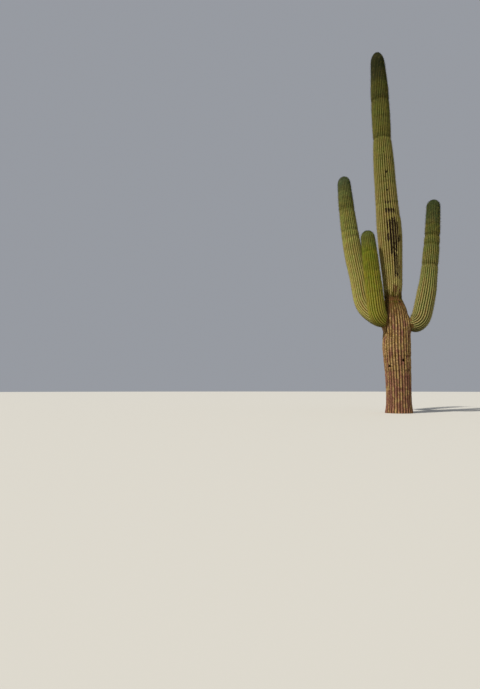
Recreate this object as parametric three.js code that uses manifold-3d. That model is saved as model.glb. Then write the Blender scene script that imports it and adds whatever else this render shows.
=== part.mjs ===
// A saguaro seven metres tall, rooted in level ground: a fluted trunk with a corky foot and a waist,
// and three fluted arms that leave it low down and turn upwards. Millimetres, +Z up, and the origin
// is the middle of the flat cut at ground level. Seen from -Y, +X is to the right.
import * as THREE from 'three';
import { mergeVertices } from 'three/addons/utils/BufferGeometryUtils.js';
import Module from 'manifold-3d';

const wasm = await Module();
wasm.setup();

// Clearance left between solids that touch
const SEAM_GAP = 0.3;

// Share of a limb's radius by which a groove lies below the rib crests beside it
const GROOVE_SHARE = 0.1;

// Rings of facets over the rounded tip of a limb, and the widest gap between rings elsewhere
const TIP_RINGS = 3;
const STRAIGHT_RING_STEP = 460;
const BEND_RING_STEP = 90;

// Step of the walk that draws an arm's axis
const WALK_STEP = 5;

// Where an elbow's solid starts, inside the trunk, before it is cut to the trunk's flutes
const ELBOW_START = 100;

// The trunk. Each station gives its height, the radius over the rib crests, and how far the axis
// leans there along +X and along +Y
const TRUNK = {
  name: 'trunk',
  ribs: 28,
  length: 7000,
  tipDome: 200,
  colour: '#6b6234',
  stations: [
    [0, 247, 0, 0], // flat cut, on a slight root flare
    [160, 228, 6, 0],
    [600, 227, 8, 0],
    [1220, 250, -6, 0], // swollen corky foot
    [1560, 236, 0, 4],
    [1880, 208, -14, 6],
    [2130, 159, -46, 8], // waist
    [2400, 172, -48, 10],
    [3250, 218, -78, 16], // widest green part
    [4250, 197, -128, 24],
    [4750, 189, -149, 28],
    [5270, 165, -170, 30], // step below the upper growth
    [5480, 170, -175, 30],
    [6250, 160, -196, 28],
    [6600, 140, -209, 26],
    [7000, 116, -228, 24],
  ],
};

// The arms. An arm starts on the trunk's axis at rootHeight and goes out towards azimuth, counted
// in degrees from +X towards +Y. Each station gives the distance along the arm, its rise above
// level in degrees, and the radius over the rib crests
const ARMS = [
  {
    name: 'right_arm',
    azimuth: 8,
    rootHeight: 1622,
    elbowEnd: 700,
    length: 2722,
    tipDome: 130,
    ribs: 24,
    colour: '#5f6030',
    stations: [
      [0, 0, 118],
      [240, 2, 122], // neck where the arm leaves the trunk
      [320, 18, 160],
      [430, 52, 171],
      [560, 74, 173], // end of the tight turn
      [740, 77, 172],
      [980, 79, 168],
      [1240, 82, 150],
      [1800, 84, 140],
      [2250, 86, 129],
      [2722, 87, 116],
    ],
  },
  {
    name: 'left_outer_arm',
    azimuth: 151,
    rootHeight: 1606,
    elbowEnd: 980,
    length: 3590,
    tipDome: 140,
    ribs: 24,
    colour: '#686a38',
    stations: [
      [0, 18, 112],
      [250, 26, 114], // neck
      [350, 32, 145],
      [600, 41, 161],
      [800, 60, 171], // end of the slow turn
      [1000, 78, 172],
      [1500, 77, 172],
      [2000, 80, 176],
      [2700, 83, 158],
      [3200, 85, 142],
      [3590, 86, 118],
    ],
  },
  {
    name: 'left_inner_arm',
    azimuth: 212,
    rootHeight: 1645,
    elbowEnd: 640,
    length: 2010,
    tipDome: 130,
    ribs: 22,
    colour: '#61641f',
    stations: [
      [0, 0, 108],
      [150, 2, 108],
      [240, 22, 110], // neck
      [310, 38, 138],
      [400, 60, 156],
      [520, 79, 160], // end of the tight turn
      [700, 83, 161],
      [1200, 84, 150],
      [1700, 84, 136],
      [2010, 84, 116],
    ],
  },
];

// A smooth reading between the stations of a limb, as a function of the distance along it
function stationReader(stations) {
  const width = stations[0].length - 1;
  const distances = stations.map((station) => station[0]);
  const values = stations.flatMap((station) => station.slice(1));
  const curve = new THREE.CubicInterpolant(distances, values, width);
  return (distance) => Array.from(curve.evaluate(distance));
}

// The factor that rounds the end of a limb over into a dome
function domeFactor(limb, distance) {
  const share = (distance - limb.length + limb.tipDome) / limb.tipDome;
  return Math.sqrt(1 - THREE.MathUtils.clamp(share, 0, 1) ** 2);
}

// The trunk's cross-section at a height: level, with its middle on the leaning axis
function trunkSection(distance) {
  const [radius, leanX, leanY] = readTrunk(distance);
  const across = new THREE.Vector3(1, 0, 0);
  const along = new THREE.Vector3(0, 0, 1);
  return {
    centre: new THREE.Vector3(leanX, leanY, distance),
    across,
    along,
    radius: radius * domeFactor(TRUNK, distance),
  };
}

// The cross-sections of an arm, square to an axis that is walked from the trunk by its rise
function armSection(arm) {
  const readArm = stationReader(arm.stations);
  const turn = THREE.MathUtils.degToRad(arm.azimuth);
  const level = new THREE.Vector3(Math.cos(turn), Math.sin(turn), 0);
  const up = new THREE.Vector3(0, 0, 1);
  const root = trunkSection(arm.rootHeight).centre;
  const heading = (distance) => {
    const rise = THREE.MathUtils.degToRad(readArm(distance)[0]);
    return level.clone().multiplyScalar(Math.cos(rise)).addScaledVector(up, Math.sin(rise));
  };
  const walked = [root];
  for (let distance = 0; distance < arm.length; distance += WALK_STEP) {
    const next = walked.at(-1).clone();
    walked.push(next.addScaledVector(heading(distance + WALK_STEP / 2), WALK_STEP));
  }
  return (distance) => {
    const along = heading(distance);
    const across = new THREE.Vector3().crossVectors(along, up).normalize().cross(along);
    const step = Math.min(Math.floor(distance / WALK_STEP), walked.length - 2);
    const part = distance / WALK_STEP - step;
    return {
      centre: walked[step].clone().lerp(walked[step + 1], part),
      across,
      along,
      radius: readArm(distance)[1] * domeFactor(arm, distance),
    };
  };
}

// Distances of the rings of a stretch of limb: at its ends, at every station between them and, where
// these lie further apart than step, evenly in between. Over the dome they close in on the tip
function ringDistances(limb, from, to, step) {
  const bodyEnd = to === limb.length ? to - limb.tipDome : to;
  const stops = limb.stations.map((station) => station[0]);
  const fixed = [from, ...stops.filter((stop) => stop > from && stop < bodyEnd), bodyEnd];
  const distances = [from];
  for (const [index, stop] of fixed.slice(1).entries()) {
    const gap = stop - fixed[index];
    const parts = Math.ceil(gap / step);
    for (let part = 1; part <= parts; part += 1) {
      distances.push(fixed[index] + (gap * part) / parts);
    }
  }
  for (let ring = 1; bodyEnd < to && ring <= TIP_RINGS; ring += 1) {
    const angle = (Math.PI / 2) * (ring / (TIP_RINGS + 0.5));
    distances.push(bodyEnd + limb.tipDome * Math.sin(angle));
  }
  return distances;
}

// A stretch of a limb as a closed fluted body, its skin moved outwards by grow. A cylinder with two
// facets to each rib is bent along the axis, and every second corner is sunk into a groove
function flutedGeometry(limb, section, from, to, step, grow = 0) {
  const distances = ringDistances(limb, from, to, step);
  const corners = 2 * limb.ribs;
  const geometry = new THREE.CylinderGeometry(1, 1, 1, corners, distances.length - 1);
  geometry.deleteAttribute('normal');
  geometry.deleteAttribute('uv');
  const places = geometry.getAttribute('position');
  const point = new THREE.Vector3();
  for (let index = 0; index < places.count; index += 1) {
    point.fromBufferAttribute(places, index);
    const onRim = Math.hypot(point.x, point.z) > 0.5;
    const ring = Math.round((point.y + 0.5) * (distances.length - 1));
    const capDistance = point.y > 0 ? to : from;
    const { centre, across, along, radius } = section(onRim ? distances[ring] : capDistance);
    const corner = Math.round((Math.atan2(point.x, point.z) / (2 * Math.PI)) * corners);
    const sunk = corner % 2 === 0 ? 0 : GROOVE_SHARE * radius;
    const reach = radius - sunk + grow;
    const beside = across.clone().cross(along);
    centre.addScaledVector(across, point.x * reach);
    centre.addScaledVector(beside, point.z * reach);
    places.setXYZ(index, centre.x, centre.y, centre.z);
  }
  return mergeVertices(geometry);
}

// A closed geometry as a solid for cutting, and back
function toSolid(geometry) {
  return new wasm.Manifold(new wasm.Mesh({
    numProp: 3,
    vertProperties: new Float32Array(geometry.getAttribute('position').array),
    triVerts: new Uint32Array(geometry.index.array),
  }));
}

function fromSolid(solid) {
  const { vertProperties, triVerts } = solid.getMesh();
  const geometry = new THREE.BufferGeometry();
  geometry.setAttribute('position', new THREE.BufferAttribute(vertProperties, 3));
  geometry.setIndex(new THREE.BufferAttribute(triVerts, 1));
  return geometry;
}

function skinMesh(name, geometry, colour) {
  const material = new THREE.MeshStandardMaterial({ color: colour, roughness: 0.75, metalness: 0 });
  const mesh = new THREE.Mesh(geometry, material);
  mesh.name = name;
  return mesh;
}

const readTrunk = stationReader(TRUNK.stations);
const saguaro = new THREE.Group();

// The trunk, whole from the flat cut to its tip, and the same a seam's gap larger to cut the arms with
function trunkGeometry(grow) {
  return flutedGeometry(TRUNK, trunkSection, 0, TRUNK.length, STRAIGHT_RING_STEP, grow);
}
saguaro.add(skinMesh(TRUNK.name, trunkGeometry(0), TRUNK.colour));
const trunkClearance = toSolid(trunkGeometry(SEAM_GAP));

// Each arm is split where its bend ends: an elbow cut to the trunk's flutes, and a column on top
for (const arm of ARMS) {
  const section = armSection(arm);
  const elbow = flutedGeometry(arm, section, ELBOW_START, arm.elbowEnd, BEND_RING_STEP);
  const cutElbow = toSolid(elbow).subtract(trunkClearance);
  saguaro.add(skinMesh(`${arm.name}_elbow`, fromSolid(cutElbow), arm.colour));
  const columnStart = arm.elbowEnd + SEAM_GAP;
  const column = flutedGeometry(arm, section, columnStart, arm.length, STRAIGHT_RING_STEP);
  saguaro.add(skinMesh(`${arm.name}_column`, column, arm.colour));
}

export default saguaro;
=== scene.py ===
import math

import bmesh
import bpy
import numpy as np
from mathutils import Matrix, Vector, noise


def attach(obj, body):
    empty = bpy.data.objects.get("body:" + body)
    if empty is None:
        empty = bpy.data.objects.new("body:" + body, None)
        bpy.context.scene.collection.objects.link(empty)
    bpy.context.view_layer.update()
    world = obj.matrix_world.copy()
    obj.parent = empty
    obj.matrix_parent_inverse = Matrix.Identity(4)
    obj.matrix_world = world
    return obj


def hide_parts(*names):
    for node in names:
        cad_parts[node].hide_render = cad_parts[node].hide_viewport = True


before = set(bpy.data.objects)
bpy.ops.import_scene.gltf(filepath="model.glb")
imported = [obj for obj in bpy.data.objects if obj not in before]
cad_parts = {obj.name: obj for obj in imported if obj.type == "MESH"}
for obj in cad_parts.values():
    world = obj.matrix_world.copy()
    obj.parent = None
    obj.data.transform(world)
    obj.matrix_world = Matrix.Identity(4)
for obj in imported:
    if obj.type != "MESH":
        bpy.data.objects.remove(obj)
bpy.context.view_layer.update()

# A saguaro in metres, +Z up. Its skins follow the same axes and radii as the solids that they
# replace, with every rib, and the small things on the ribs are joined meshes.

# How the photograph was taken: the camera's place, where it points, and its lens
PHOTO_HEIGHT = 689
CAMERA_PLACE = (0.0, -9.627, 0.449)
CAMERA_TURN_LEFT = 17.486
CAMERA_TILT_UP = 5.0
FOCAL_PIXELS = 500.0
SENSOR_MM = 36.0

# Towards the sun: from the left and the front, as the inner arm's shadow on the trunk shows. Its height
# and width are in degrees
SUN_BEARING = (-0.585, -0.811)
SUN_HEIGHT = 48.5
SUN_WIDTH = 4
SUN_STRENGTH = 3.95
SKY_STRENGTH = 0.42
FLOOR_RADIUS = 60

# The spine clusters, called areoles, stand this far apart along a rib, with two rings of mesh to each
AREOLE_STEP = 0.028
RING_STEP = AREOLE_STEP / 2
DOME_RINGS = 16

# Mesh points across a rib from groove to groove, and how blunt the crest between them is. Ribs fade
# towards a tip where a limb is thinner than this radius
RIB_POINTS = 6
CREST_BLUNTNESS = 0.7
FADING_RADIUS = 0.06

# How far scabs, the notches under areoles and the middle of a tip sink in, and how far a growth ring of
# darkness 1 would be pinched in. Cork is rough twice over, coarsely and finely. Limbs swell a little
# over long and short stretches, and ribs wander to the side
SCAB_DEPTH = 0.004
NOTCH_DEPTH = 0.003
DIMPLE_DEPTH = 0.01
RING_PINCH = 0.025
CORK_ROUGHNESS = 0.0025
LONG_SWELL, SHORT_SWELL = 0.004, 0.0015
RIB_WANDER = 0.003

# A growth ring's dark edge is this ragged and blurs this far to each side, and its pinch reaches this
# far
RING_RAGGED = 0.006
RING_BLUR = 0.012
PINCH_WIDTH = 0.03

# The trunk. Each station gives its height, the radius over the rib crests, and the axis's lean
# along +X and along +Y. Rib depths are shares of the radius at heights. A year's growth starts dark
# and a little pinched in: a band gives its lowest and highest point and its darkness. Grooves are
# darkened by a share with painted shade over their deeper green, crests bleach to one colour that
# also paints a sheen on them, and the skin's colours go by the share of the length from the foot
TRUNK = {
    "name": "trunk",
    "nodes": ["trunk"],
    "slot": "trunk_skin",
    "ribs": 28,
    "start": 0.0,
    "length": 7.0,
    "dome": 0.2,
    "stations": [
        (0, 0.247, 0, 0),
        (0.16, 0.228, 0.006, 0),
        (0.6, 0.227, 0.008, 0),
        (1.22, 0.25, -0.006, 0),
        (1.56, 0.236, 0, 0.004),
        (1.88, 0.208, -0.014, 0.006),
        (2.13, 0.159, -0.046, 0.008),
        (2.4, 0.172, -0.048, 0.01),
        (3.25, 0.218, -0.078, 0.016),
        (4.25, 0.197, -0.128, 0.024),
        (4.75, 0.189, -0.149, 0.028),
        (5.27, 0.165, -0.17, 0.03),
        (5.48, 0.17, -0.175, 0.03),
        (6.25, 0.16, -0.196, 0.028),
        (6.6, 0.14, -0.209, 0.026),
        (7.0, 0.116, -0.228, 0.024),
    ],
    "rib_depths": [(0, 0.09), (0.9, 0.115), (2.1, 0.12), (2.7, 0.15), (5.2, 0.13), (6.8, 0.1)],
    "bands": [
        (6.36, 6.5, 0.1),
        (5.99, 6.2, 0.35),
        (5.62, 5.68, 0.12),
        (5.22, 5.46, 0.35),
        (4.78, 4.88, 0.1),
        (4.3, 4.36, 0.1),
        (3.9, 3.97, 0.15),
        (2.1, 2.2, 0.25),
        (1.01, 1.05, 0.16),
        (0.75, 0.79, 0.16),
    ],
    # How far painted shade darkens the grooves, and the crests' bleached colour with its painted sheen
    "groove": 0.95,
    "crest": "#c8b67c",
    "skin": [
        (0.33, "#8e833a"),
        (0.37, "#7b712e"),
        (0.44, "#706727"),
        (0.5, "#655d20"),
        (0.62, "#5e611f"),
        (0.742, "#646620"),
        (0.75, "#575c16"),
        (0.84, "#515716"),
        (0.86, "#414509"),
        (0.898, "#404409"),
        (0.925, "#222805"),
        (1, "#1b2104"),
    ],
}

# The arms start on the trunk's axis at root_height and go out towards azimuth, in degrees from +X
# towards +Y. Each station gives the distance along the arm, its rise above level and its radius
ARMS = [
    {
        "name": "right_arm",
        "nodes": ["right_arm_elbow", "right_arm_column"],
        "slot": "arm_skin",
        "azimuth": 8,
        "root_height": 1.622,
        "ribs": 24,
        "start": 0.13,
        "length": 2.722,
        "dome": 0.13,
        "stations": [
            (0, 0, 0.118),
            (0.24, 2, 0.122),
            (0.32, 18, 0.16),
            (0.43, 52, 0.171),
            (0.56, 74, 0.173),
            (0.74, 77, 0.172),
            (0.98, 79, 0.168),
            (1.24, 82, 0.15),
            (1.8, 84, 0.14),
            (2.25, 86, 0.129),
            (2.722, 87, 0.116),
        ],
        "rib_depths": [(0.2, 0.06), (0.4, 0.15), (1.4, 0.15), (2.5, 0.11)],
        "bands": [(3.47, 3.52, 0.1), (3.26, 3.37, 0.35), (3.09, 3.16, 0.3), (2.71, 2.82, 0.3)],
        "groove": 0.74,
        "crest": "#b6ac72",
        "skin": [
            (0.15, "#5a5923"),
            (0.35, "#586123"),
            (0.53, "#566323"),
            (0.55, "#49521a"),
            (0.675, "#4b5719"),
            (0.69, "#4f5617"),
            (0.74, "#4f5618"),
            (0.76, "#464e16"),
            (0.82, "#464e16"),
            (0.84, "#3f4a23"),
            (1, "#3a4526"),
        ],
    },
    {
        "name": "left_outer_arm",
        "nodes": ["left_outer_arm_elbow", "left_outer_arm_column"],
        "slot": "arm_skin",
        "azimuth": 151,
        "root_height": 1.606,
        "ribs": 24,
        "start": 0.13,
        "length": 3.59,
        "dome": 0.14,
        "stations": [
            (0, 18, 0.112),
            (0.25, 26, 0.114),
            (0.35, 32, 0.145),
            (0.6, 41, 0.161),
            (0.8, 60, 0.171),
            (1.0, 78, 0.172),
            (1.5, 77, 0.172),
            (2.0, 80, 0.176),
            (2.7, 83, 0.158),
            (3.2, 85, 0.142),
            (3.59, 86, 0.118),
        ],
        "rib_depths": [(0.2, 0.06), (0.5, 0.14), (2.4, 0.14), (3.4, 0.11)],
        "bands": [(4.46, 4.52, 0.12), (4.05, 4.27, 0.2), (3.6, 3.7, 0.2), (3.46, 3.55, 0.12)],
        "groove": 0.78,
        "crest": "#c0ae74",
        "skin": [
            (0.3, "#858638"),
            (0.62, "#7d8037"),
            (0.64, "#757a30"),
            (0.76, "#6c7130"),
            (0.81, "#5d6427"),
            (0.92, "#545d32"),
            (1, "#434c38"),
        ],
    },
    {
        "name": "left_inner_arm",
        "nodes": ["left_inner_arm_elbow", "left_inner_arm_column"],
        "slot": "arm_skin",
        "azimuth": 212,
        "root_height": 1.645,
        "ribs": 22,
        "start": 0.13,
        "length": 2.01,
        "dome": 0.13,
        "stations": [
            (0, 0, 0.108),
            (0.15, 2, 0.108),
            (0.24, 22, 0.11),
            (0.31, 38, 0.138),
            (0.4, 60, 0.156),
            (0.52, 79, 0.16),
            (0.7, 83, 0.161),
            (1.2, 84, 0.15),
            (1.7, 84, 0.136),
            (2.01, 84, 0.116),
        ],
        "rib_depths": [(0.2, 0.06), (0.4, 0.14), (1.3, 0.14), (1.8, 0.11)],
        "bands": [(2.95, 3.02, 0.16), (2.61, 2.84, 0.18), (2.43, 2.5, 0.12), (2.2, 2.25, 0.1)],
        "groove": 0.74,
        "crest": "#a8a04c",
        "skin": [(0.3, "#6b6c10"), (0.6, "#686e0c"), (0.8, "#667015"), (0.88, "#5c6328"), (1, "#525b2e")],
    },
]

# Dry cork climbs the trunk from the ground to these heights, the second where the last of it ends.
# Its edge is this ragged, and it ends this much lower on the crests. The youngest of it, down to where
# STAIN_END has it all bleached, is still stained red brown and olive
CORK_FULL, CORK_END = 2.1, 2.56
CORK_RAGGED, CORK_DROP = 0.14, 0.12
STAIN_FULL, STAIN_END = 2.04, 1.62

# It also rings the neck of each arm, where the trunk swells to a low collar round it: how far along
# the arm the neck lies, how far along the cork begins to give way and ends and how ragged it is, and
# the collar's place along the arm, height and radius
NECK = (0.1, 0.35)
ARM_CORK = (0.22, 0.3)
ARM_CORK_RAGGED = 0.05
COLLAR_AT = 0.2
COLLAR_HEIGHT = 0.018
COLLAR_RADIUS = 0.21

# A shoulder on the trunk's right side: its top, where it begins to fade downwards and where it ends,
# the angle of its middle round from the front, and how far it stands out
SHOULDER_TOP, SHOULDER_FULL, SHOULDER_END = 3.63, 3.4, 2.9
SHOULDER_TURN, SHOULDER_REACH = 85, 0.012

# Old wounds on the trunk, healed black in the grooves: the lowest and the highest point, the first and
# the last angle round from the front towards +X, how far they climb from a groove to its crests, and
# how black they are
WOUNDS = [
    (3.86, 3.96, -12, 28, 0.8, 0.9),
    (3.67, 3.82, -13, 42, 1.3, 1),
    (3.3, 3.6, -13, 0, 0.85, 0.8),
    (3.2, 3.65, 3, 38, 1.25, 1),
    (3.22, 3.58, 40, 50, 0.95, 1),
    (3.09, 3.34, -13, 60, 1.45, 1),
    (3.14, 3.3, -22, -16, 0.7, 0.8),
    (2.88, 3.24, 3, 42, 1.2, 1),
    (2.62, 2.98, 10, 42, 1.25, 0.84),
    (2.42, 2.8, 16, 48, 1.25, 0.78),
    (2.1, 2.18, -34, 26, 0.65, 0.8),
    (2.9, 3.5, 190, 240, 0.65, 0.9),
]

# The ends of a wound lie up to this much higher or lower from groove to groove and taper over at most
# this much. Its sides are ragged in steps of this length, and it never quite covers a crest
WOUND_SHIFT = 0.09
WOUND_TAPER = 0.07
WOUND_STEP = 0.11
WOUND_REACH = 0.95

# Holes that birds and rot left in the trunk: height, angle round from the front, radius and depth
HOLES = [
    (4.9, 2, 0.012, 0.006),
    (4.5, 11, 0.024, 0.01),
    (4.4, 2, 0.015, 0.008),
    (4.14, 7.5, 0.02, 0.008),
    (2.02, 38.6, 0.018, 0.008),
    (0.95, 28.5, 0.026, 0.03),
    (0.85, -38, 0.022, 0.02),
    (0.78, 57.5, 0.022, 0.02),
    (1.35, 165, 0.03, 0.03),
]

# Each kind of spine: how many stand on an areole, their least and greatest angle from straight out,
# their least and greatest length, and how far their three edges lie from the middle
SPINE_KINDS = {
    "short_spines": (8, (58, 84), (0.012, 0.022), 0.0007),
    "long_spines": (4, (12, 50), (0.02, 0.042), 0.001),
    "old_spines": (4, (35, 80), (0.01, 0.026), 0.001),
}

# Spines stand in a ring of this radius round the middle of an areole, rooted this far below the skin.
# None grow below this height, or this close to another limb
SPINE_RING = 0.002
SPINE_ROOT = 0.001
LOWEST_AREOLE = 0.07
LIMB_CLEARANCE = 0.004

# The share of the spines that have lost their dark colour, and the share that have weathered: first
# at the tip, then how much more at the foot. Each limb draws its spines from a seed of its own
PALE_SHARE = (0.02, 2.5)
GREY_SHARE = (0.02, 0.6)
FIRST_SEED = 11

# An areole's felt from its middle: to its sides, up and down the rib, outwards and into the skin
FELT_SIDE, FELT_LENGTH, FELT_OUT, FELT_ROOT = 0.0045, 0.007, 0.0035, 0.003


def smooth_columns(stations, at):
    """The columns of stations read at distances, on cubics that pass each station at its neighbours' slope"""
    knots = np.array(stations, float)
    stops, values = knots[:, 0], knots[:, 1:]
    secant = np.diff(values, axis=0) / np.diff(stops)[:, None]
    slope = np.vstack([secant[:1], (secant[:-1] + secant[1:]) / 2, secant[-1:]])
    at = np.clip(at, stops[0], stops[-1])
    low = np.clip(np.searchsorted(stops, at, side="right") - 1, 0, len(stops) - 2)
    span = (stops[low + 1] - stops[low])[:, None]
    share = (at - stops[low])[:, None] / span
    return (
        values[low] * (2 * share**3 - 3 * share**2 + 1)
        + slope[low] * span * (share**3 - 2 * share**2 + share)
        + values[low + 1] * (3 * share**2 - 2 * share**3)
        + slope[low + 1] * span * (share**3 - share**2)
    )


def sections(limb, at):
    """Centres, the directions across, beside and along, and the crest radii of a limb at distances"""
    columns = smooth_columns(limb["stations"], at)
    up = np.array([0, 0, 1.0])
    if limb is TRUNK:
        centre = np.column_stack([columns[:, 1], columns[:, 2], at])
        across = np.tile([1.0, 0, 0], (len(at), 1))
        along = np.tile(up, (len(at), 1))
        radius = columns[:, 0]
    else:
        turn = math.radians(limb["azimuth"])
        level = np.array([math.cos(turn), math.sin(turn), 0])
        step = 0.005
        walk = np.arange(0, limb["length"] + step, step)
        rise = np.radians(smooth_columns(limb["stations"], walk[:-1] + step / 2)[:, 0])
        out = np.concatenate([[0], np.cumsum(np.cos(rise) * step)])
        climb = np.concatenate([[0], np.cumsum(np.sin(rise) * step)])
        root = sections(TRUNK, np.array([limb["root_height"]]))[0][0]
        centre = root + np.outer(np.interp(at, walk, out), level)
        centre = centre + np.outer(np.interp(at, walk, climb), up)
        rise = np.radians(columns[:, 0])[:, None]
        along = np.cos(rise) * level + np.sin(rise) * up
        across = np.cos(rise) * up - np.sin(rise) * level
        radius = columns[:, 1]
    over_dome = np.clip((at - limb["length"] + limb["dome"]) / limb["dome"], 0, 1)
    return centre, across, np.cross(across, along), along, radius * np.sqrt(1 - over_dome**2)


def ring_distances(limb):
    """Distances of a skin's rings: twice at its flat start, even along the body, closing in on the tip"""
    body_end = limb["length"] - limb["dome"]
    rings = round((body_end - limb["start"]) / RING_STEP)
    even = np.linspace(limb["start"], body_end, rings + 1)
    over_dome = np.sin(np.linspace(0, math.pi / 2, DOME_RINGS + 1)[1:])
    return np.concatenate([[limb["start"]], even, body_end + limb["dome"] * over_dome])


def lumps(points, size):
    """Smooth noise from -1 to 1 whose lumps are about size across, at points in an array of any shape"""
    flat = (points.reshape(-1, 3) / size).tolist()
    return np.array([noise.noise(point) for point in flat]).reshape(points.shape[:-1])


def eased(value, low, high):
    """0 below low, 1 above high, and a smooth climb between them"""
    share = np.clip((value - low) / (high - low), 0, 1)
    return share * share * (3 - 2 * share)


def bell(value, middle, half_width):
    return np.exp(-(((value - middle) / half_width) ** 2))


def growth_marks(height, bands):
    """How dark a year's growth is at heights: sharply from its foot, then fading upwards"""
    dark = 0
    for low, high, darkness in bands:
        risen = eased(height, low - RING_BLUR, low + RING_BLUR)
        dark = dark + darkness * risen * (1 - eased(height, low + 0.02, high))
    return dark


def turned_apart(turn, degrees):
    """How far angles in radians lie from one in degrees, the short way round"""
    return np.abs((turn - math.radians(degrees) + math.pi) % (2 * math.pi) - math.pi)


def wound_marks(at, groove, crest, ribs):
    """How black the trunk's skin is at each point, from 0 to 1: dashes in single grooves, ragged in their
    length and width and narrow at both ends"""
    marks = np.zeros(np.broadcast(at, groove).shape)
    groove_turn = np.degrees(math.pi + (groove + 0.5) * 2 * math.pi / ribs)
    for low, high, first, last, climb, black in WOUNDS:
        middle, half = (first + last) / 2, (last - first) / 2
        chosen = np.abs((groove_turn - middle + 180) % 360 - 180) < half
        seeds = np.stack(np.broadcast_arrays(groove * 2.3, 0 * groove, 0 * groove + 7 * high), -1)
        shift = min(WOUND_SHIFT, 0.3 * (high - low)) * lumps(seeds, 1.0)
        taper = min(WOUND_TAPER, 0.3 * (high - low))
        inside = eased(at - shift, low, low + taper) * (1 - eased(at - shift, high - taper, high))
        places = np.stack(np.broadcast_arrays(groove * 1.7, 0 * at, at / WOUND_STEP), -1)
        reach = inside * np.minimum(climb + 0.35 * lumps(places, 1.0), WOUND_REACH)
        filled = 1 - eased(crest, reach - 0.2, reach + 0.15)
        marks = np.maximum(marks, black * chosen * inside * filled)
    return marks


def skin_surface(limb):
    """The points of a limb's skin in rings, from a groove at the back and once round to it again, with
    the marks that its finish reads at each point"""
    at = ring_distances(limb)
    centre, across, beside, along, radius = sections(limb, at)
    radius[0] = 0
    column = np.arange(limb["ribs"] * RIB_POINTS + 1)
    rib = column // RIB_POINTS
    turn = (math.pi + (column / RIB_POINTS + 0.5) * 2 * math.pi / limb["ribs"])[None, :]
    crest = np.sin(math.pi * (column % RIB_POINTS) / RIB_POINTS)[None, :] ** CREST_BLUNTNESS
    height, distance, round_radius = centre[:, 2:], at[:, None], radius[:, None]
    unbent = np.stack(
        np.broadcast_arrays(round_radius * np.sin(turn), -round_radius * np.cos(turn), distance), -1
    )

    cork = np.zeros(unbent.shape[:2])
    wound = np.zeros(unbent.shape[:2])
    sunk = np.zeros(unbent.shape[:2])
    bulge = 0
    stain = 1 + 0 * distance
    if limb is TRUNK:
        stain = 1 - eased(-height, -STAIN_FULL, -STAIN_END)
        ragged = CORK_RAGGED * lumps(unbent * (1, 1, 0.4), 0.06) + CORK_DROP * crest
        cork = 1 - eased(height + ragged, CORK_FULL, CORK_END)
        groove = np.floor(column / RIB_POINTS + 0.5)[None, :]
        wound = wound_marks(distance, groove, crest, limb["ribs"])
        sunk = SCAB_DEPTH * wound
        for hole_height, angle, hole_radius, depth in HOLES:
            away = np.hypot(height - hole_height, turned_apart(turn, angle) * round_radius)
            hollow = 1 - eased(away, 0.6 * hole_radius, 1.3 * hole_radius)
            wound = np.maximum(wound, hollow)
            sunk = np.maximum(sunk, depth * hollow)
        plain = centre[:, None] + across[:, None] * (round_radius * np.sin(turn))[..., None]
        plain = plain + beside[:, None] * (round_radius * np.cos(turn))[..., None]
        for arm in ARMS:
            neck = sections(arm, np.array([COLLAR_AT]))[0][0]
            away = np.linalg.norm(plain - neck, axis=2)
            bulge = bulge + COLLAR_HEIGHT * (1 - eased(away, 0.6 * COLLAR_RADIUS, COLLAR_RADIUS))
        shoulder = 1 - eased(height, SHOULDER_TOP, SHOULDER_TOP + 0.05)
        shoulder = shoulder * eased(height, SHOULDER_END, SHOULDER_FULL)
        bulge = bulge + SHOULDER_REACH * shoulder * bell(turned_apart(turn, SHOULDER_TURN), 0, 0.5)
    else:
        cork = 1 - eased(distance + ARM_CORK_RAGGED * lumps(unbent, 0.05), *ARM_CORK)

    band = growth_marks(height + RING_RAGGED * lumps(unbent, 0.05), limb["bands"])
    pinch = sum(dark * bell(height, low, PINCH_WIDTH) for low, _, dark in limb["bands"])
    sunk = sunk + RING_PINCH * pinch
    depth = np.interp(distance, *zip(*limb["rib_depths"])) * (1 + 0.1 * lumps(unbent, 0.3))
    depth = depth * np.clip(round_radius / FADING_RADIUS, 0.4, 1)
    at_areole = (np.arange(len(at))[:, None] + rib[None, :]) % 2 == 0
    notch = NOTCH_DEPTH * at_areole * crest**3 * (1 - cork) * np.clip(round_radius / FADING_RADIUS, 0, 1)
    coarse, fine = lumps(unbent, 0.045), lumps(unbent * (1, 1, 0.6), 0.013)
    rough = cork * (CORK_ROUGHNESS * coarse + CORK_ROUGHNESS * fine)
    swell = LONG_SWELL * lumps(unbent, 0.5) + SHORT_SWELL * lumps(unbent, 0.11)
    proud = (swell + bulge + rough - notch - sunk) * (round_radius > 0)
    reach = round_radius * (1 - depth * (1 - crest)) + proud
    wander = RIB_WANDER * lumps(unbent + 7, 0.4) / np.maximum(round_radius, 0.05)
    dimple = DIMPLE_DEPTH * bell(radius, 0, 0.03) * (at > limb["length"] - limb["dome"])
    points = (
        (centre - along * dimple[:, None])[:, None, :]
        + across[:, None, :] * (reach * np.sin(turn + wander))[..., None]
        + beside[:, None, :] * (reach * np.cos(turn + wander))[..., None]
    )
    # How far each point faces down, which the finish darkens as painted shade on the undersides of the bends
    facing_up = across[:, 2:] * np.sin(turn) + beside[:, 2:] * np.cos(turn)
    marks = {
        "unbent": unbent,
        "crest": crest + 0 * distance,
        "cork": cork,
        "wound": wound,
        "band": band,
        "stain": stain + 0 * turn,
        "underside_shade": eased(-facing_up, 0.35, 0.95),
    }
    return points, marks


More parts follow.
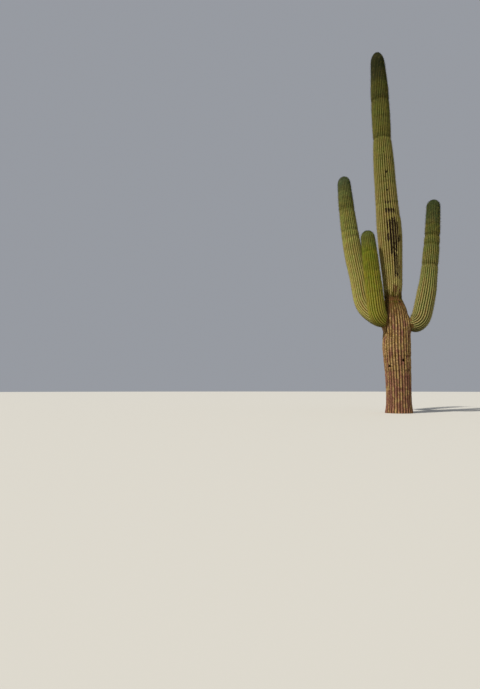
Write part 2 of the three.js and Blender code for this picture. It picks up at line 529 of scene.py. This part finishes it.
def make_skin(limb, points, marks):
    """One closed skin: a grid bent round the limb, its seam and both ends drawn together"""
    rings, columns = points.shape[:2]
    bm = bmesh.new()
    bm.loops.layers.uv.new("OFBake")
    bmesh.ops.create_grid(bm, x_segments=columns - 1, y_segments=rings - 1, size=0.5, calc_uvs=True)
    for vert, place in zip(bm.verts, points.reshape(-1, 3)):
        vert.co = place
    for name, values in marks.items():
        kinds = bm.verts.layers.float if values.ndim == 2 else bm.verts.layers.float_vector
        layer = kinds.new(name)
        flat = values.reshape(rings * columns, -1).squeeze().tolist()
        for vert, value in zip(bm.verts, flat):
            vert[layer] = value
    bmesh.ops.remove_doubles(bm, verts=bm.verts, dist=1e-5)
    bmesh.ops.recalc_face_normals(bm, faces=bm.faces)
    for face in bm.faces:
        face.smooth = True
    start = Vector(points[0, 0])
    middle = min(bm.verts, key=lambda vert: (vert.co - start).length_squared)
    for face in middle.link_faces:
        face.smooth = False
        for edge in face.edges:
            edge.smooth = False
    mesh = bpy.data.meshes.new(limb["name"])
    bm.to_mesh(mesh)
    bm.free()
    return mesh


def show(name, mesh, finishes):
    """Puts a mesh in the scene as a piece of the plant"""
    piece = bpy.data.objects.new(name, mesh)
    bpy.context.scene.collection.objects.link(piece)
    for finish in finishes:
        mesh.materials.append(finish)
    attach(piece, "root")
    return piece


def linear(hex_colour):
    """An sRGB hex colour as linear red, green and blue, with full alpha"""
    channels = [int(hex_colour[place:place + 2], 16) / 255 for place in (1, 3, 5)]
    return *(c / 12.92 if c <= 0.04045 else ((c + 0.055) / 1.055) ** 2.4 for c in channels), 1.0


def add(tree, kind, inputs=None, stops=(), **settings):
    """Adds a node with its settings, its inputs as links or values, and its ramp's places and hex colours"""
    node = tree.nodes.new(kind)
    for name, value in settings.items():
        setattr(node, name, value)
    for key, value in (inputs or {}).items():
        if isinstance(value, bpy.types.NodeSocket):
            tree.links.new(value, node.inputs[key])
        else:
            node.inputs[key].default_value = value
    for index, (place, tone) in enumerate(stops):
        elements = node.color_ramp.elements
        element = elements[index] if index < 2 else elements.new(place)
        element.position = place
        element.color = linear(tone)
    return node


def new_finish(name):
    finish = bpy.data.materials.new(name)
    finish.use_nodes = True
    return finish, finish.node_tree, finish.node_tree.nodes["Principled BSDF"]


# Sockets of a Mix node that mixes colours: how much, the first colour, the second, and the result. Below,
# a pattern's scale is written as 1 over the size of its features in metres
SHARE, FIRST, SECOND, MIXED = 0, 6, 7, 2


def cuticle_colour(tree, limb, share, unbent, marks, streak, rib_tone):
    """Olive green, darker where it is young, yellower and scurfy with age. The grooves are darkened with
    painted shade over their deeper green, the undersides of the bends with painted shade, and sun and rain
    bleach the crests to straw, their bluish cream partly a painted sheen"""
    skin = add(tree, "ShaderNodeValToRGB", {"Fac": share}, limb["skin"]).outputs["Color"]
    blotch = add(tree, "ShaderNodeTexNoise", {"Vector": unbent, "Scale": 1 / 0.06, "Detail": 4.0})
    tone = add(tree, "ShaderNodeMath", {0: blotch.outputs["Fac"], 1: streak}, operation="ADD").outputs[0]
    level = add(tree, "ShaderNodeMapping", {"Vector": unbent, "Scale": (0.1, 0.1, 1)}).outputs[0]
    ring = add(tree, "ShaderNodeTexNoise", {"Vector": level, "Scale": 1 / 0.06, "Detail": 3.0})
    tone = add(tree, "ShaderNodeMath", {0: ring.outputs["Fac"], 1: tone}, operation="ADD").outputs[0]
    value = add(
        tree,
        "ShaderNodeMapRange",
        {"Value": tone, "From Min": 1.1, "From Max": 1.9, "To Min": 0.6, "To Max": 1.4},
    ).outputs[0]
    patch = add(tree, "ShaderNodeTexNoise", {"Vector": unbent, "Scale": 1 / 0.14, "Detail": 4.0})
    hue = add(
        tree,
        "ShaderNodeMapRange",
        {"Value": patch.outputs["Fac"], "From Min": 0.36, "From Max": 0.64, "To Min": 0.472, "To Max": 0.528},
    ).outputs[0]
    skin = add(tree, "ShaderNodeHueSaturation", {"Hue": hue, "Value": value, "Color": skin}).outputs[0]
    old = add(
        tree,
        "ShaderNodeMapRange",
        {"Value": share, "From Min": 0.95, "From Max": 0.3, "To Min": 0.05},
    ).outputs[0]
    scurf = add(
        tree,
        "ShaderNodeMapRange",
        {"Value": rib_tone, "From Min": 0.46, "From Max": 0.64, "To Max": 0.65},
    ).outputs[0]
    scurf = add(tree, "ShaderNodeMath", {0: scurf, 1: old}, operation="MULTIPLY").outputs[0]
    skin = add(
        tree, "ShaderNodeMix", {SHARE: scurf, FIRST: skin, SECOND: linear("#7c5426")}, data_type="RGBA"
    ).outputs[MIXED]
    # Bleach on the older crests, its bluish cream partly a painted sheen of the sky on the lit crests
    bleach_and_sheen = add(
        tree, "ShaderNodeMapRange", {"Value": marks["crest"], "From Min": 0.7, "To Max": 0.78}
    ).outputs[0]
    bleach_and_sheen = add(tree, "ShaderNodeMath", {0: bleach_and_sheen, 1: old}, operation="MULTIPLY").outputs[0]
    skin = add(
        tree, "ShaderNodeMix", {SHARE: bleach_and_sheen, FIRST: skin, SECOND: linear(limb["crest"])}, data_type="RGBA"
    ).outputs[MIXED]
    # Painted shade in the grooves: they are mixed towards near black by the limb's groove share, over their
    # deeper green
    shade = add(
        tree,
        "ShaderNodeMapRange",
        {"Value": marks["crest"], "From Max": 0.88, "To Min": limb["groove"], "To Max": 0.0},
    ).outputs[0]
    skin = add(
        tree, "ShaderNodeMix", {SHARE: shade, FIRST: skin, SECOND: linear("#1f1e06")}, data_type="RGBA"
    ).outputs[MIXED]
    # Painted shade: points that face down, under the bends, are mixed towards a deep green
    painted_underside_shade = add(tree, "ShaderNodeMath", {0: marks["underside_shade"], 1: 0.75}, operation="MULTIPLY").outputs[0]
    skin = add(
        tree, "ShaderNodeMix", {SHARE: painted_underside_shade, FIRST: skin, SECOND: linear("#20240e")}, data_type="RGBA"
    ).outputs[MIXED]
    band = marks["band"]
    return add(
        tree, "ShaderNodeMix", {SHARE: band, FIRST: skin, SECOND: linear("#1f200b")}, data_type="RGBA"
    ).outputs[MIXED]


def cork_colour(tree, distance, unbent, marks, flake, broken, rib_tone):
    """Dead cork: cream, tan and pinkish mauve on the ribs, dark brown between them and in its cracks and
    rings. Where it is young it is stained red brown and olive, and close to the ground it is pinker"""
    patches = add(tree, "ShaderNodeTexNoise", {"Vector": unbent, "Scale": 1 / 0.1, "Detail": 5.0})
    mottle = add(tree, "ShaderNodeMath", {0: patches.outputs["Fac"], 1: rib_tone}, operation="ADD")
    mottle = mottle.outputs[0]
    low = add(
        tree,
        "ShaderNodeMapRange",
        {"Value": distance, "From Min": 0.82, "From Max": 0.7, "To Max": 0.14},
    ).outputs[0]
    mottle = add(tree, "ShaderNodeMath", {0: mottle, 1: low}, operation="ADD").outputs[0]
    rib = add(
        tree, "ShaderNodeMapRange", {"Value": mottle, "From Min": 0.75, "From Max": 1.25}
    ).outputs[0]
    rib = add(
        tree,
        "ShaderNodeValToRGB",
        {"Fac": rib},
        [
            (0, "#8a6a40"),
            (0.3, "#b2935a"),
            (0.45, "#c3a671"),
            (0.62, "#b08b60"),
            (0.8, "#a4775d"),
            (1, "#926456"),
        ],
    ).outputs["Color"]
    worn = add(
        tree,
        "ShaderNodeMapRange",
        {"Value": flake, "From Min": 0.35, "From Max": 0.54, "To Min": 0.32, "To Max": 1.0},
    ).outputs[0]
    worn = add(tree, "ShaderNodeMath", {0: worn, 1: broken}, operation="MULTIPLY").outputs[0]
    rib = add(
        tree, "ShaderNodeMix", {SHARE: worn, FIRST: linear("#5c3f26"), SECOND: rib}, data_type="RGBA"
    ).outputs[MIXED]
    outer = add(
        tree, "ShaderNodeMapRange", {"Value": marks["crest"], "From Min": 0.3, "From Max": 0.95}
    ).outputs[0]
    ring = add(tree, "ShaderNodeMath", {0: marks["band"], 1: 0.9}, operation="MULTIPLY").outputs[0]
    outer = add(
        tree, "ShaderNodeMath", {0: outer, 1: ring}, operation="SUBTRACT", use_clamp=True
    ).outputs[0]
    rib = add(
        tree, "ShaderNodeMix", {SHARE: outer, FIRST: linear("#3e2916"), SECOND: rib}, data_type="RGBA"
    ).outputs[MIXED]
    young = add(
        tree,
        "ShaderNodeMapRange",
        {"Value": rib_tone, "From Min": 0.4, "From Max": 0.58, "To Min": 0.55, "To Max": 0.95},
    ).outputs[0]
    young = add(tree, "ShaderNodeMath", {0: marks["stain"], 1: young}, operation="MULTIPLY").outputs[0]
    stain = add(
        tree, "ShaderNodeValToRGB", {"Fac": patches.outputs["Fac"]}, [(0.4, "#5b3c21"), (0.6, "#4a4410")]
    ).outputs["Color"]
    return add(
        tree, "ShaderNodeMix", {SHARE: young, FIRST: rib, SECOND: stain}, data_type="RGBA"
    ).outputs[MIXED]


def skin_finish(limb):
    """Waxy cuticle over living flesh, satin and faintly wrinkled. It gives way to dead cork, matt and
    cracked, at the foot of the trunk and on the necks, and its wounds heal to black, ragged scabs"""
    finish, tree, shader = new_finish(limb["name"] + "_waxy_cuticle")
    unbent = add(tree, "ShaderNodeAttribute", attribute_name="unbent").outputs["Vector"]
    marks = {
        name: add(tree, "ShaderNodeAttribute", attribute_name=name).outputs["Fac"]
        for name in ("crest", "band", "wound", "cork", "stain", "underside_shade")
    }
    distance = add(tree, "ShaderNodeSeparateXYZ", {"Vector": unbent}).outputs["Z"]
    share = add(tree, "ShaderNodeMath", {0: distance, 1: limb["length"]}, operation="DIVIDE").outputs[0]

    # Fibres run along the limb, so streaks and flakes are drawn out that way
    drawn = add(tree, "ShaderNodeMapping", {"Vector": unbent, "Scale": (1, 1, 0.2)}).outputs[0]
    short = add(tree, "ShaderNodeMapping", {"Vector": unbent, "Scale": (1, 1, 0.45)}).outputs[0]
    streak = add(tree, "ShaderNodeTexNoise", {"Vector": drawn, "Scale": 1 / 0.012, "Detail": 4.0})
    streak = streak.outputs["Fac"]
    rib_tone = add(tree, "ShaderNodeTexNoise", {"Vector": drawn, "Scale": 1 / 0.05, "Detail": 5.0})
    rib_tone = rib_tone.outputs["Fac"]
    flake = add(
        tree, "ShaderNodeTexNoise", {"Vector": short, "Scale": 1 / 0.016, "Detail": 8.0, "Roughness": 0.65}
    ).outputs["Fac"]

    # Old cork breaks into uneven plates some 50 mm across, wrinkled across the ribs every centimetre
    bent = add(tree, "ShaderNodeTexNoise", {"Vector": unbent, "Scale": 1 / 0.04, "Detail": 3.0})
    bent = add(
        tree, "ShaderNodeVectorMath", {0: bent.outputs["Color"], "Scale": 0.05}, operation="SCALE"
    ).outputs[0]
    bent = add(tree, "ShaderNodeVectorMath", {0: bent, 1: unbent}, operation="ADD").outputs[0]
    crack = add(
        tree, "ShaderNodeTexVoronoi", {"Vector": bent, "Scale": 1 / 0.05}, feature="DISTANCE_TO_EDGE"
    ).outputs["Distance"]
    crack = add(tree, "ShaderNodeMapRange", {"Value": crack, "From Max": 0.07, "To Min": 0.5}).outputs[0]
    flat = add(tree, "ShaderNodeMapping", {"Vector": bent, "Scale": (1, 1, 3.5)}).outputs[0]
    crease = add(tree, "ShaderNodeTexNoise", {"Vector": flat, "Scale": 1 / 0.035, "Detail": 2.0})
    crease = add(
        tree,
        "ShaderNodeMapRange",
        {"Value": crease.outputs["Fac"], "From Min": 0.35, "From Max": 0.55, "To Min": 0.55},
    ).outputs[0]
    broken = add(tree, "ShaderNodeMath", {0: crack, 1: crease}, operation="MULTIPLY").outputs[0]

    edge = add(tree, "ShaderNodeMath", {0: marks["cork"], 1: flake}, operation="ADD").outputs[0]
    corky = add(tree, "ShaderNodeMapRange", {"Value": edge, "From Min": 0.9, "From Max": 1.08}).outputs[0]
    living = cuticle_colour(tree, limb, share, unbent, marks, streak, rib_tone)
    dead = cork_colour(tree, distance, unbent, marks, flake, broken, rib_tone)
    skin = add(
        tree, "ShaderNodeMix", {SHARE: corky, FIRST: living, SECOND: dead}, data_type="RGBA"
    ).outputs[MIXED]

    # A scab has a black heart and a rim of brown callus, both ragged
    hurt = add(tree, "ShaderNodeMath", {0: flake, 1: 1.3}, operation="MULTIPLY").outputs[0]
    hurt = add(tree, "ShaderNodeMath", {0: marks["wound"], 1: hurt}, operation="ADD").outputs[0]
    scabbed = add(tree, "ShaderNodeMapRange", {"Value": hurt, "From Min": 0.98, "From Max": 1.08}).outputs[0]
    scab = add(
        tree,
        "ShaderNodeValToRGB",
        {"Fac": add(tree, "ShaderNodeMapRange", {"Value": hurt, "From Max": 2.0}).outputs[0]},
        [(0.49, "#6e5a33"), (0.53, "#46321b"), (0.64, "#21170d"), (0.8, "#120d09"), (0.9, "#40332a")],
    ).outputs["Color"]
    skin = add(
        tree, "ShaderNodeMix", {SHARE: scabbed, FIRST: skin, SECOND: scab}, data_type="RGBA"
    ).outputs[MIXED]
    tree.links.new(skin, shader.inputs["Base Color"])

    dull = add(tree, "ShaderNodeMath", {0: corky, 1: scabbed}, operation="MAXIMUM").outputs[0]
    rough = add(tree, "ShaderNodeMapRange", {"Value": dull, "To Min": 0.58, "To Max": 0.92}).outputs[0]
    tree.links.new(rough, shader.inputs["Roughness"])
    shader.inputs["Specular IOR Level"].default_value = 0.06

    # Wrinkles 4 mm across on the living skin, drawn coarser than real ones so that they show. Cork and
    # scabs are broken 8 mm deep
    wrinkle = add(tree, "ShaderNodeTexNoise", {"Vector": unbent, "Scale": 1 / 0.004, "Detail": 2.0})
    chipped = add(tree, "ShaderNodeMath", {0: flake, 1: broken}, operation="ADD").outputs[0]
    relief = add(
        tree, "ShaderNodeMix", {0: dull, 2: wrinkle.outputs["Fac"], 3: chipped}, data_type="FLOAT"
    ).outputs[0]
    lift = add(tree, "ShaderNodeMapRange", {"Value": dull, "To Min": 0.001, "To Max": 0.008}).outputs[0]
    bump = add(tree, "ShaderNodeBump", {"Strength": 0.8, "Distance": lift, "Height": relief})
    tree.links.new(bump.outputs[0], shader.inputs["Normal"])
    return finish


def dry_finish(name, hex_colour, roughness):
    """A dry fibre's colour, a little uneven every centimetre"""
    finish, tree, shader = new_finish(name)
    place = add(tree, "ShaderNodeTexCoord").outputs["Object"]
    grain = add(tree, "ShaderNodeTexNoise", {"Vector": place, "Scale": 1 / 0.01, "Detail": 1.0})
    value = add(
        tree,
        "ShaderNodeMapRange",
        {"Value": grain.outputs["Fac"], "From Min": 0.3, "From Max": 0.7, "To Min": 0.8, "To Max": 1.2},
    ).outputs[0]
    dyed = add(tree, "ShaderNodeHueSaturation", {"Value": value, "Color": linear(hex_colour)})
    tree.links.new(dyed.outputs[0], shader.inputs["Base Color"])
    shader.inputs["Roughness"].default_value = roughness
    shader.inputs["Specular IOR Level"].default_value = 0.02
    return finish


# New spines are a dark olive, grown ones straw-coloured and old ones weathered to ash grey. The felt
# of an areole is a dull pad of short hairs
STRAW, GREY, DARK = 0, 1, 2
SPINE_FINISHES = [
    dry_finish("straw_spine", "#8a7b38", 0.55),
    dry_finish("ash_grey_spine", "#605d34", 0.75),
    dry_finish("dark_olive_spine", "#1f2308", 0.6),
]
FELT_FINISHES = [dry_finish("areole_felt", "#403e1e", 0.95)]


def find_areoles(limb, points, marks):
    """The areoles of a limb: every second ring of each crest, in turn from rib to rib, with their
    directions outwards, along and sideways, left out where another limb covers them"""
    ring, rib = np.meshgrid(np.arange(3, points.shape[0] - 2), np.arange(limb["ribs"]), indexing="ij")
    chosen = (ring + rib) % 2 == 0
    ring, column = ring[chosen], rib[chosen] * RIB_POINTS + RIB_POINTS // 2
    place = points[ring, column]
    up = points[ring + 1, column] - points[ring - 1, column]
    side = points[ring, column + 1] - points[ring, column - 1]
    up /= np.linalg.norm(up, axis=1)[:, None]
    side /= np.linalg.norm(side, axis=1)[:, None]
    out = np.cross(side, up)
    out /= np.linalg.norm(out, axis=1)[:, None]
    side = np.cross(up, out)
    distance = marks["unbent"][ring, column, 2]
    clear = place[:, 2] > LOWEST_AREOLE
    if limb is TRUNK:
        for arm in ARMS:
            axis = sections(arm, np.linspace(*NECK, 12))[0]
            gap = np.linalg.norm(place[:, None, :] - axis[None], axis=2).min(1)
            clear &= gap > arm["stations"][1][2]
    else:
        middle, _, _, _, radius = sections(TRUNK, place[:, 2])
        clear &= np.hypot(*(place - middle)[:, :2].T) > radius + LIMB_CLEARANCE
    areoles = {
        "place": place,
        "out": out,
        "up": up,
        "side": side,
        "cork": marks["cork"][ring, column],
        "age": (limb["length"] - distance) / limb["length"],
    }
    return {name: values[clear] for name, values in areoles.items()}


def some_of(areoles, chosen):
    return {name: values[chosen] for name, values in areoles.items()}


def needles(areoles, rng, count, leans, lengths, thickness):
    """Closed three-sided needles, count to an areole: their corners, their faces and each one's areole.
    leans is the least and the greatest angle from straight out, and spines shorten with age"""
    shape = (len(areoles["place"]), count)
    lean = np.radians(rng.uniform(*leans, shape))[..., None]
    spin = (np.arange(count) + rng.uniform(-0.4, 0.4, shape) + rng.uniform(0, 1, (shape[0], 1))) / count
    spin = (spin * 2 * math.pi)[..., None]
    grown = (1 - 0.4 * areoles["age"]) * eased(areoles["age"], -0.03, 0.04)
    reach = (rng.uniform(*lengths, shape) * grown[:, None])[..., None]
    out, up, side = (areoles[name][:, None, :] for name in ("out", "up", "side"))
    level = np.cos(spin) * up + np.sin(spin) * side
    aim = np.cos(lean) * out + np.sin(lean) * level
    flank = np.cross(np.broadcast_to(out, level.shape), level)
    third = np.cross(aim, flank)
    foot = areoles["place"][:, None, :] + SPINE_RING * level - SPINE_ROOT * out
    ring = [
        foot + thickness * (math.cos(angle) * flank + math.sin(angle) * third)
        for angle in (0, 2 * math.pi / 3, 4 * math.pi / 3)
    ]
    corners = np.stack([*ring, foot + reach * aim], axis=2).reshape(-1, 3)
    first = 4 * np.arange(shape[0] * count)[:, None, None]
    faces = (first + np.array([(0, 2, 1), (0, 1, 3), (1, 2, 3), (2, 0, 3)])).reshape(-1, 3)
    return corners, faces, np.repeat(np.arange(shape[0]), 4 * count)


def felt_pads(areoles, rng):
    """A small closed lozenge of felt on each areole, longer along the rib"""
    size = rng.uniform(0.8, 1.2, len(areoles["place"]))[:, None]
    place, out, up, side = (areoles[name] for name in ("place", "out", "up", "side"))
    rim = [FELT_SIDE * side, FELT_LENGTH * up, -FELT_SIDE * side, -FELT_LENGTH * up]
    tips = [*rim, FELT_OUT * out, -FELT_ROOT * out]
    corners = np.stack([place + size * tip for tip in tips], axis=1).reshape(-1, 3)
    edges = [(corner, (corner + 1) % 4) for corner in range(4)]
    sides = np.array([(a, b, 4) for a, b in edges] + [(b, a, 5) for a, b in edges])
    faces = (6 * np.arange(len(place))[:, None, None] + sides).reshape(-1, 3)
    return corners, faces, np.repeat(np.arange(len(place)), 8)


def make_joined(name, corners, faces, finishes, picks):
    mesh = bpy.data.meshes.new(name)
    mesh.from_pydata(corners.tolist(), [], faces.tolist())
    show(name, mesh, finishes)
    mesh.polygons.foreach_set("material_index", picks.astype(np.int32))
    mesh.update()


def dress(limb, points, marks, seed):
    """The felt and the spines of a limb: a fan of short ones and a few long ones from each areole, with
    only broken stubs left on cork"""
    rng = np.random.default_rng(seed)
    areoles = find_areoles(limb, points, marks)
    living = some_of(areoles, areoles["cork"] < 0.5)
    dead = some_of(areoles, (areoles["cork"] >= 0.5) & (rng.uniform(size=len(areoles["cork"])) < 0.6))
    sources = {"short_spines": living, "long_spines": living, "old_spines": dead}
    spines = {kind: needles(source, rng, *SPINE_KINDS[kind]) for kind, source in sources.items()}
    for kind, (corners, faces, owner) in spines.items():
        source = sources[kind]
        chance = rng.uniform(size=len(source["age"]))
        weathered = chance < GREY_SHARE[0] + GREY_SHARE[1] * source["age"] + source["cork"]
        new = chance > PALE_SHARE[0] + PALE_SHARE[1] * source["age"]
        colour = np.where(weathered, GREY, np.where(new, DARK, STRAW))
        make_joined(f"{limb['name']}_{kind}", corners, faces, SPINE_FINISHES, colour[owner])
    corners, faces, owner = felt_pads(living, rng)
    make_joined(f"{limb['name']}_felt", corners, faces, FELT_FINISHES, 0 * owner)


def make_limb(limb, seed):
    points, marks = skin_surface(limb)
    skin = show(limb["name"] + "_skin", make_skin(limb, points, marks), [skin_finish(limb)])
    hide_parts(*limb["nodes"])
    dress(limb, points, marks, seed)


def make_floor():
    """A wide, matt, pale floor, level with the flat cut of the trunk"""
    bm = bmesh.new()
    bmesh.ops.create_circle(bm, cap_ends=True, segments=96, radius=FLOOR_RADIUS)
    mesh = bpy.data.meshes.new("floor")
    bm.to_mesh(mesh)
    bm.free()
    floor = bpy.data.objects.new("floor", mesh)
    bpy.context.scene.collection.objects.link(floor)
    finish, _, shader = new_finish("pale_plaster")
    shader.inputs["Base Color"].default_value = linear("#c8c6bf")
    shader.inputs["Roughness"].default_value = 0.95
    mesh.materials.append(finish)


def make_light():
    """A pale sky all round, and one soft sun that draws the ribs"""
    world = bpy.data.worlds.new("pale_sky")
    world.use_nodes = True
    background = world.node_tree.nodes["Background"]
    background.inputs["Color"].default_value = linear("#dfe4ee")
    background.inputs["Strength"].default_value = SKY_STRENGTH
    bpy.context.scene.world = world
    sun = bpy.data.lights.new("sun", "SUN")
    sun.energy = SUN_STRENGTH
    sun.angle = math.radians(SUN_WIDTH)
    sun.color = (1.0, 0.95, 0.86)
    lamp = bpy.data.objects.new("sun", sun)
    bpy.context.scene.collection.objects.link(lamp)
    towards = Vector((*SUN_BEARING, 0)).normalized() * math.cos(math.radians(SUN_HEIGHT))
    towards.z = math.sin(math.radians(SUN_HEIGHT))
    lamp.rotation_euler = towards.to_track_quat("Z", "Y").to_euler()


def make_camera():
    lens = bpy.data.cameras.new("camera")
    lens.sensor_width = SENSOR_MM
    lens.lens = FOCAL_PIXELS / PHOTO_HEIGHT * SENSOR_MM
    camera = bpy.data.objects.new("camera", lens)
    camera.location = CAMERA_PLACE
    camera.rotation_euler = (math.radians(90 + CAMERA_TILT_UP), 0, math.radians(CAMERA_TURN_LEFT))
    bpy.context.scene.collection.objects.link(camera)
    bpy.context.scene.camera = camera


make_camera()
make_light()
make_floor()
for number, limb in enumerate([TRUNK, *ARMS]):
    make_limb(limb, FIRST_SEED + number)
bpy.context.scene.view_settings.view_transform = "Standard"
